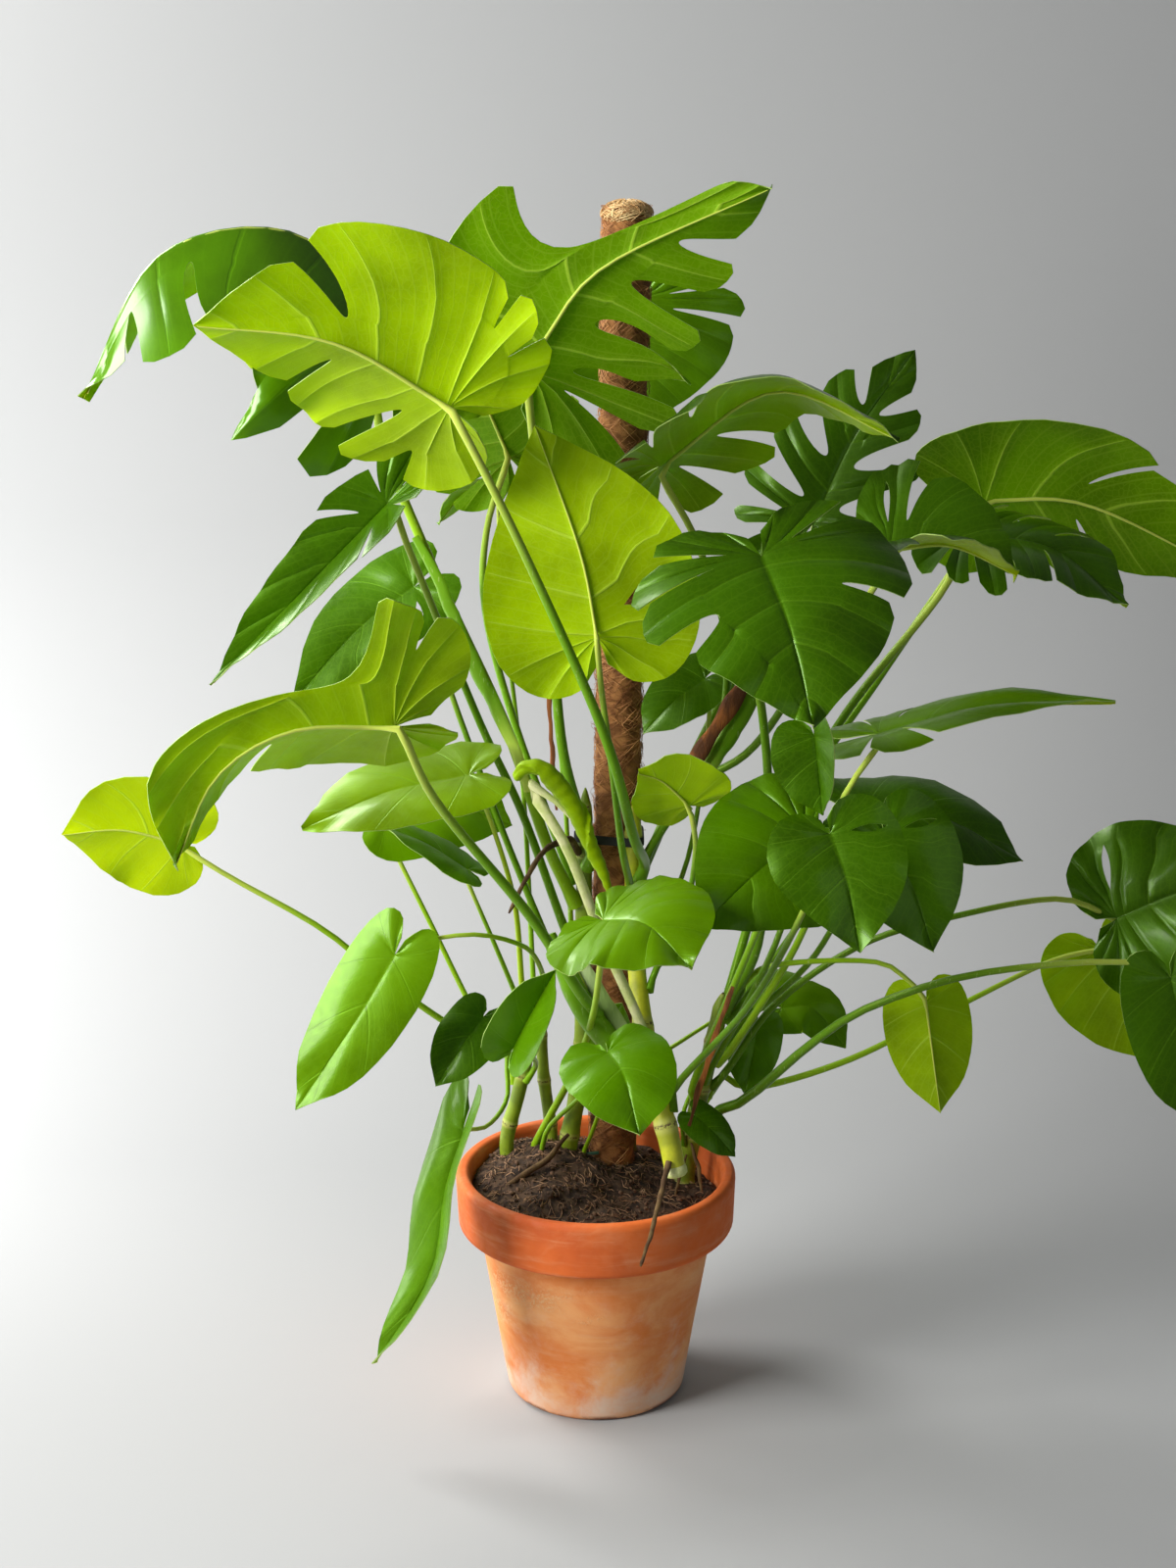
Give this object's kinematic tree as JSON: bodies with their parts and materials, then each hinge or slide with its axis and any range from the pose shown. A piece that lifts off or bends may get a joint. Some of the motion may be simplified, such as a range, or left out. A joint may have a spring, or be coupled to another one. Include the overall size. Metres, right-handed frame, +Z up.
{
  "type": "potted swiss cheese plant",
  "caption": "Swiss cheese plant with large split leaves on arching stalks, tied to a coir pole in a round terracotta pot.",
  "frame": {"origin": "centre of the pot's flat base, on the floor", "axes": "+Z up; the picture's camera looks along +Y, with +X to the right"},
  "size_m": [1.1303, 0.5777, 1.2279],
  "materials": {
    "coir": "matte",
    "leaf_dark": "gloss",
    "leaf_fresh": "satin",
    "leaf_green": "gloss",
    "leaf_underside": "matte",
    "root": "matte",
    "shoot_bark": "matte",
    "shoot_fresh": "satin",
    "shoot_stem": "satin",
    "soil": "matte",
    "stake": "matte",
    "strap": "matte",
    "terracotta": "matte"
  },
  "bodies": {
    "root": {"climbing_stem": "shoot_stem", "coir_wrap": "coir", "front_shoot": "shoot_fresh", "inner_shoot": "shoot_stem", "leaf_crown_behind_pole": "leaf_green", "leaf_crown_far_left": "leaf_fresh", "leaf_crown_front_left": "leaf_underside", "leaf_crown_rear_left": "leaf_underside", "leaf_crown_rear_right": "leaf_dark", "leaf_crown_right": "leaf_dark", "leaf_crown_top": "leaf_underside", "leaf_front_bright": "leaf_fresh", "leaf_front_dark": "leaf_dark", "leaf_front_glossy": "leaf_green", "leaf_front_low_dark": "leaf_dark", "leaf_front_middle_heart": "leaf_green", "leaf_front_pale_small": "leaf_fresh", "leaf_front_ribbed": "leaf_underside", "leaf_front_thin": "leaf_dark", "leaf_left_far_heart": "leaf_fresh", "leaf_left_folded": "leaf_green", "leaf_left_great": "leaf_underside", "leaf_left_hanging": "leaf_green", "leaf_left_low_bright": "leaf_green", "leaf_left_low_heart": "leaf_dark", "leaf_left_middle_heart": "leaf_dark", "leaf_left_pale_heart": "leaf_fresh", "leaf_left_rear_upper": "leaf_dark", "leaf_left_small_heart": "leaf_green", "leaf_left_upper": "leaf_green", "leaf_middle_far_right": "leaf_dark", "leaf_middle_front_right": "leaf_dark", "leaf_middle_heart": "leaf_underside", "leaf_middle_rear_right": "leaf_fresh", "leaf_middle_right_edge_on": "leaf_fresh", "leaf_middle_right_folded": "leaf_dark", "leaf_middle_right_long": "leaf_fresh", "leaf_middle_small_dark": "leaf_dark", "leaf_new_rolled": "leaf_fresh", "leaf_rear_left_small": "leaf_green", "leaf_rear_low_fresh": "leaf_fresh", "leaf_rear_middle_small": "leaf_green", "leaf_right_hanging": "leaf_dark", "leaf_right_long_dark": "leaf_dark", "leaf_right_low_bright": "leaf_fresh", "leaf_right_low_upright": "leaf_green", "leaf_right_pale_folded": "leaf_fresh", "leaf_right_pot_small": "leaf_dark", "leaf_right_rear_pale": "leaf_fresh", "left_shoot": "shoot_stem", "pole_stake": "stake", "pot": "terracotta", "rear_shoot": "shoot_bark", "right_shoot": "shoot_stem", "root_on_climber": "root", "root_over_rim": "root", "soil": "soil", "tie_1": "strap", "tie_2": "strap"}
  },
  "joints": []
}
